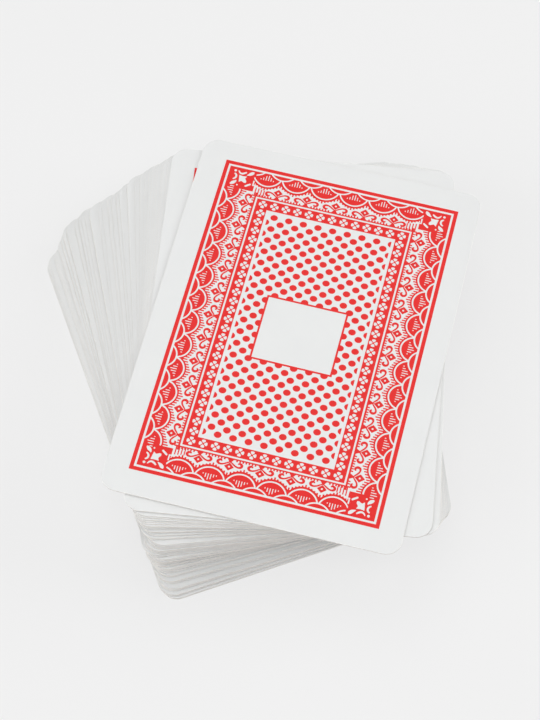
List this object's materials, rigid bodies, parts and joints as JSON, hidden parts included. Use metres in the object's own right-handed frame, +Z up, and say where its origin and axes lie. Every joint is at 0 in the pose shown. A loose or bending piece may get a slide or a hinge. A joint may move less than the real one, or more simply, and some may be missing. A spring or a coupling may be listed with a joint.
{
  "type": "playing card deck",
  "caption": "Deck of poker-size playing cards lying face down as a loosely twisted pile, each card a rounded sheet that swivels on the pile, with a top card that deals off.",
  "frame": {"origin": "middle of the lowest card's face, which rests on the table", "axes": "+Z up through the pile; the lowest card's length lies along Y and its width along X"},
  "size_m": [0.0987, 0.1058, 0.0213],
  "materials": {
    "card_stock": "coated white card stock",
    "back_ink": "red offset ink under varnish",
    "face_red_ink": "red offset ink under varnish",
    "face_black_ink": "black offset ink under varnish"
  },
  "bodies": {
    "red_joker": {"red_joker": "card_stock"},
    "black_joker": {"black_joker": "card_stock"},
    "ace_of_clubs": {"ace_of_clubs": "card_stock"},
    "two_of_clubs": {"two_of_clubs": "card_stock"},
    "three_of_clubs": {"three_of_clubs": "card_stock"},
    "four_of_clubs": {"four_of_clubs": "card_stock"},
    "five_of_clubs": {"five_of_clubs": "card_stock"},
    "six_of_clubs": {"six_of_clubs": "card_stock"},
    "seven_of_clubs": {"seven_of_clubs": "card_stock"},
    "eight_of_clubs": {"eight_of_clubs": "card_stock"},
    "nine_of_clubs": {"nine_of_clubs": "card_stock"},
    "ten_of_clubs": {"ten_of_clubs": "card_stock"},
    "jack_of_clubs": {"jack_of_clubs": "card_stock"},
    "queen_of_clubs": {"queen_of_clubs": "card_stock"},
    "king_of_clubs": {"king_of_clubs": "card_stock"},
    "ace_of_diamonds": {"ace_of_diamonds": "card_stock"},
    "two_of_diamonds": {"two_of_diamonds": "card_stock"},
    "three_of_diamonds": {"three_of_diamonds": "card_stock"},
    "four_of_diamonds": {"four_of_diamonds": "card_stock"},
    "five_of_diamonds": {"five_of_diamonds": "card_stock"},
    "six_of_diamonds": {"six_of_diamonds": "card_stock"},
    "seven_of_diamonds": {"seven_of_diamonds": "card_stock"},
    "eight_of_diamonds": {"eight_of_diamonds": "card_stock"},
    "nine_of_diamonds": {"nine_of_diamonds": "card_stock"},
    "ten_of_diamonds": {"ten_of_diamonds": "card_stock"},
    "jack_of_diamonds": {"jack_of_diamonds": "card_stock"},
    "queen_of_diamonds": {"queen_of_diamonds": "card_stock"},
    "king_of_diamonds": {"king_of_diamonds": "card_stock"},
    "ace_of_hearts": {"ace_of_hearts": "card_stock"},
    "two_of_hearts": {"two_of_hearts": "card_stock"},
    "three_of_hearts": {"three_of_hearts": "card_stock"},
    "four_of_hearts": {"four_of_hearts": "card_stock"},
    "five_of_hearts": {"five_of_hearts": "card_stock"},
    "six_of_hearts": {"six_of_hearts": "card_stock"},
    "seven_of_hearts": {"seven_of_hearts": "card_stock"},
    "eight_of_hearts": {"eight_of_hearts": "card_stock"},
    "nine_of_hearts": {"nine_of_hearts": "card_stock"},
    "ten_of_hearts": {"ten_of_hearts": "card_stock"},
    "jack_of_hearts": {"jack_of_hearts": "card_stock"},
    "queen_of_hearts": {"queen_of_hearts": "card_stock"},
    "king_of_hearts": {"king_of_hearts": "card_stock"},
    "ace_of_spades": {"ace_of_spades": "card_stock"},
    "two_of_spades": {"two_of_spades": "card_stock"},
    "three_of_spades": {"three_of_spades": "card_stock"},
    "four_of_spades": {"four_of_spades": "card_stock"},
    "five_of_spades": {"five_of_spades": "card_stock"},
    "six_of_spades": {"six_of_spades": "card_stock"},
    "seven_of_spades": {"seven_of_spades": "card_stock"},
    "eight_of_spades": {"eight_of_spades": "card_stock"},
    "nine_of_spades": {"nine_of_spades": "card_stock"},
    "ten_of_spades": {"ten_of_spades": "card_stock"},
    "jack_of_spades": {"jack_of_spades": "card_stock"},
    "queen_of_spades": {"queen_of_spades": "card_stock"},
    "king_of_spades": {"king_of_spades": "card_stock"}
  },
  "joints": [
    {"name": "deal_top_card", "type": "slide", "parent": "queen_of_spades", "child": "king_of_spades", "axis": [-0.5577, -0.83, 0], "range_m": [-0.04, 0.04]},
    {"name": "swivel_queen_of_spades", "type": "hinge", "parent": "red_joker", "child": "queen_of_spades", "pos_m": [0, -0.0274, 0.02065], "axis": [0, 0, -1], "range_deg": [-25.5, 64.5]},
    {"name": "swivel_jack_of_spades", "type": "hinge", "parent": "red_joker", "child": "jack_of_spades", "pos_m": [0, -0.0274, 0.0202], "axis": [0, 0, -1], "range_deg": [-23.91, 66.09]},
    {"name": "swivel_ten_of_spades", "type": "hinge", "parent": "red_joker", "child": "ten_of_spades", "pos_m": [0, -0.0274, 0.01985], "axis": [0, 0, -1], "range_deg": [-23.32, 66.68]},
    {"name": "swivel_nine_of_spades", "type": "hinge", "parent": "red_joker", "child": "nine_of_spades", "pos_m": [0, -0.0274, 0.0195], "axis": [0, 0, -1], "range_deg": [-22.76, 67.24]},
    {"name": "swivel_eight_of_spades", "type": "hinge", "parent": "red_joker", "child": "eight_of_spades", "pos_m": [0, -0.0274, 0.01915], "axis": [0, 0, -1], "range_deg": [-22.13, 67.87]},
    {"name": "swivel_seven_of_spades", "type": "hinge", "parent": "red_joker", "child": "seven_of_spades", "pos_m": [0, -0.0274, 0.0188], "axis": [0, 0, -1], "range_deg": [-21.52, 68.48]},
    {"name": "swivel_six_of_spades", "type": "hinge", "parent": "red_joker", "child": "six_of_spades", "pos_m": [0, -0.0274, 0.01845], "axis": [0, 0, -1], "range_deg": [-20.91, 69.09]},
    {"name": "swivel_five_of_spades", "type": "hinge", "parent": "red_joker", "child": "five_of_spades", "pos_m": [0, -0.0274, 0.0181], "axis": [0, 0, -1], "range_deg": [-20.36, 69.64]},
    {"name": "swivel_four_of_spades", "type": "hinge", "parent": "red_joker", "child": "four_of_spades", "pos_m": [0, -0.0274, 0.01765], "axis": [0, 0, -1], "range_deg": [-19.5, 70.5]},
    {"name": "swivel_three_of_spades", "type": "hinge", "parent": "red_joker", "child": "three_of_spades", "pos_m": [0, -0.0274, 0.0172], "axis": [0, 0, -1], "range_deg": [-18.52, 71.48]},
    {"name": "swivel_two_of_spades", "type": "hinge", "parent": "red_joker", "child": "two_of_spades", "pos_m": [0, -0.0274, 0.01685], "axis": [0, 0, -1], "range_deg": [-18.42, 71.58]},
    {"name": "swivel_ace_of_spades", "type": "hinge", "parent": "red_joker", "child": "ace_of_spades", "pos_m": [0, -0.0274, 0.0164], "axis": [0, 0, -1], "range_deg": [-17.2, 72.8]},
    {"name": "swivel_king_of_hearts", "type": "hinge", "parent": "red_joker", "child": "king_of_hearts", "pos_m": [0, -0.0274, 0.01595], "axis": [0, 0, -1], "range_deg": [-16.27, 73.73]},
    {"name": "swivel_queen_of_hearts", "type": "hinge", "parent": "red_joker", "child": "queen_of_hearts", "pos_m": [0, -0.0274, 0.0156], "axis": [0, 0, -1], "range_deg": [-16.1, 73.9]},
    {"name": "swivel_jack_of_hearts", "type": "hinge", "parent": "red_joker", "child": "jack_of_hearts", "pos_m": [0, -0.0274, 0.01515], "axis": [0, 0, -1], "range_deg": [-13.94, 76.06]},
    {"name": "swivel_ten_of_hearts", "type": "hinge", "parent": "red_joker", "child": "ten_of_hearts", "pos_m": [0, -0.0274, 0.0148], "axis": [0, 0, -1], "range_deg": [-13.88, 76.12]},
    {"name": "swivel_nine_of_hearts", "type": "hinge", "parent": "red_joker", "child": "nine_of_hearts", "pos_m": [0, -0.0274, 0.01435], "axis": [0, 0, -1], "range_deg": [-13.52, 76.48]},
    {"name": "swivel_eight_of_hearts", "type": "hinge", "parent": "red_joker", "child": "eight_of_hearts", "pos_m": [0, -0.0274, 0.014], "axis": [0, 0, -1], "range_deg": [-13.44, 76.56]},
    {"name": "swivel_seven_of_hearts", "type": "hinge", "parent": "red_joker", "child": "seven_of_hearts", "pos_m": [0, -0.0274, 0.01355], "axis": [0, 0, -1], "range_deg": [-13.01, 76.99]},
    {"name": "swivel_six_of_hearts", "type": "hinge", "parent": "red_joker", "child": "six_of_hearts", "pos_m": [0, -0.0274, 0.0132], "axis": [0, 0, -1], "range_deg": [-12.96, 77.04]},
    {"name": "swivel_five_of_hearts", "type": "hinge", "parent": "red_joker", "child": "five_of_hearts", "pos_m": [0, -0.0274, 0.01275], "axis": [0, 0, -1], "range_deg": [-12.53, 77.47]},
    {"name": "swivel_four_of_hearts", "type": "hinge", "parent": "red_joker", "child": "four_of_hearts", "pos_m": [0, -0.0274, 0.0124], "axis": [0, 0, -1], "range_deg": [-12.47, 77.53]},
    {"name": "swivel_three_of_hearts", "type": "hinge", "parent": "red_joker", "child": "three_of_hearts", "pos_m": [0, -0.0274, 0.01195], "axis": [0, 0, -1], "range_deg": [-12, 78]},
    {"name": "swivel_two_of_hearts", "type": "hinge", "parent": "red_joker", "child": "two_of_hearts", "pos_m": [0, -0.0274, 0.0115], "axis": [0, 0, -1], "range_deg": [-11.2, 78.8]},
    {"name": "swivel_ace_of_hearts", "type": "hinge", "parent": "red_joker", "child": "ace_of_hearts", "pos_m": [0, -0.0274, 0.01105], "axis": [0, 0, -1], "range_deg": [-8.99, 81.01]},
    {"name": "swivel_king_of_diamonds", "type": "hinge", "parent": "red_joker", "child": "king_of_diamonds", "pos_m": [0, -0.0274, 0.0107], "axis": [0, 0, -1], "range_deg": [-9.02, 80.98]},
    {"name": "swivel_queen_of_diamonds", "type": "hinge", "parent": "red_joker", "child": "queen_of_diamonds", "pos_m": [0, -0.0274, 0.01035], "axis": [0, 0, -1], "range_deg": [-9.04, 80.96]},
    {"name": "swivel_jack_of_diamonds", "type": "hinge", "parent": "red_joker", "child": "jack_of_diamonds", "pos_m": [0, -0.0274, 0.01], "axis": [0, 0, -1], "range_deg": [-9.01, 80.99]},
    {"name": "swivel_ten_of_diamonds", "type": "hinge", "parent": "red_joker", "child": "ten_of_diamonds", "pos_m": [0, -0.0274, 0.00965], "axis": [0, 0, -1], "range_deg": [-8.98, 81.02]},
    {"name": "swivel_nine_of_diamonds", "type": "hinge", "parent": "red_joker", "child": "nine_of_diamonds", "pos_m": [0, -0.0274, 0.0092], "axis": [0, 0, -1], "range_deg": [-8.6, 81.4]},
    {"name": "swivel_eight_of_diamonds", "type": "hinge", "parent": "red_joker", "child": "eight_of_diamonds", "pos_m": [0, -0.0274, 0.00875], "axis": [0, 0, -1], "range_deg": [-8, 82]},
    {"name": "swivel_seven_of_diamonds", "type": "hinge", "parent": "red_joker", "child": "seven_of_diamonds", "pos_m": [0, -0.0274, 0.0083], "axis": [0, 0, -1], "range_deg": [-7.6, 82.4]},
    {"name": "swivel_six_of_diamonds", "type": "hinge", "parent": "red_joker", "child": "six_of_diamonds", "pos_m": [0, -0.0274, 0.00795], "axis": [0, 0, -1], "range_deg": [-7.62, 82.38]},
    {"name": "swivel_five_of_diamonds", "type": "hinge", "parent": "red_joker", "child": "five_of_diamonds", "pos_m": [0, -0.0274, 0.0076], "axis": [0, 0, -1], "range_deg": [-7.55, 82.45]},
    {"name": "swivel_four_of_diamonds", "type": "hinge", "parent": "red_joker", "child": "four_of_diamonds", "pos_m": [0, -0.0274, 0.00715], "axis": [0, 0, -1], "range_deg": [-6.65, 83.35]},
    {"name": "swivel_three_of_diamonds", "type": "hinge", "parent": "red_joker", "child": "three_of_diamonds", "pos_m": [0, -0.0274, 0.0068], "axis": [0, 0, -1], "range_deg": [-6.49, 83.51]},
    {"name": "swivel_two_of_diamonds", "type": "hinge", "parent": "red_joker", "child": "two_of_diamonds", "pos_m": [0, -0.0274, 0.00635], "axis": [0, 0, -1], "range_deg": [-4.91, 85.09]},
    {"name": "swivel_ace_of_diamonds", "type": "hinge", "parent": "red_joker", "child": "ace_of_diamonds", "pos_m": [0, -0.0274, 0.006], "axis": [0, 0, -1], "range_deg": [-4.87, 85.13]},
    {"name": "swivel_king_of_clubs", "type": "hinge", "parent": "red_joker", "child": "king_of_clubs", "pos_m": [0, -0.0274, 0.00565], "axis": [0, 0, -1], "range_deg": [-4.81, 85.19]},
    {"name": "swivel_queen_of_clubs", "type": "hinge", "parent": "red_joker", "child": "queen_of_clubs", "pos_m": [0, -0.0274, 0.0052], "axis": [0, 0, -1], "range_deg": [-4.13, 85.87]},
    {"name": "swivel_jack_of_clubs", "type": "hinge", "parent": "red_joker", "child": "jack_of_clubs", "pos_m": [0, -0.0274, 0.00485], "axis": [0, 0, -1], "range_deg": [-4.02, 85.98]},
    {"name": "swivel_ten_of_clubs", "type": "hinge", "parent": "red_joker", "child": "ten_of_clubs", "pos_m": [0, -0.0274, 0.0044], "axis": [0, 0, -1], "range_deg": [-3.43, 86.57]},
    {"name": "swivel_nine_of_clubs", "type": "hinge", "parent": "red_joker", "child": "nine_of_clubs", "pos_m": [0, -0.0274, 0.00405], "axis": [0, 0, -1], "range_deg": [-3.37, 86.64]},
    {"name": "swivel_eight_of_clubs", "type": "hinge", "parent": "red_joker", "child": "eight_of_clubs", "pos_m": [0, -0.0274, 0.0036], "axis": [0, 0, -1], "range_deg": [-2.78, 87.22]},
    {"name": "swivel_seven_of_clubs", "type": "hinge", "parent": "red_joker", "child": "seven_of_clubs", "pos_m": [0, -0.0274, 0.00325], "axis": [0, 0, -1], "range_deg": [-2.75, 87.25]},
    {"name": "swivel_six_of_clubs", "type": "hinge", "parent": "red_joker", "child": "six_of_clubs", "pos_m": [0, -0.0274, 0.0029], "axis": [0, 0, -1], "range_deg": [-2.65, 87.35]},
    {"name": "swivel_five_of_clubs", "type": "hinge", "parent": "red_joker", "child": "five_of_clubs", "pos_m": [0, -0.0274, 0.00245], "axis": [0, 0, -1], "range_deg": [-1.94, 88.06]},
    {"name": "swivel_four_of_clubs", "type": "hinge", "parent": "red_joker", "child": "four_of_clubs", "pos_m": [0, -0.0274, 0.0021], "axis": [0, 0, -1], "range_deg": [-1.79, 88.21]},
    {"name": "swivel_three_of_clubs", "type": "hinge", "parent": "red_joker", "child": "three_of_clubs", "pos_m": [0, -0.0274, 0.00175], "axis": [0, 0, -1], "range_deg": [-1.61, 88.39]},
    {"name": "swivel_two_of_clubs", "type": "hinge", "parent": "red_joker", "child": "two_of_clubs", "pos_m": [0, -0.0274, 0.0013], "axis": [0, 0, -1], "range_deg": [-0.8, 89.2]},
    {"name": "swivel_ace_of_clubs", "type": "hinge", "parent": "red_joker", "child": "ace_of_clubs", "pos_m": [0, -0.0274, 0.00095], "axis": [0, 0, -1], "range_deg": [-0.64, 89.36]},
    {"name": "swivel_black_joker", "type": "hinge", "parent": "red_joker", "child": "black_joker", "pos_m": [0, -0.0274, 0.0005], "axis": [0, 0, -1], "range_deg": [-0.18, 89.82]}
  ]
}
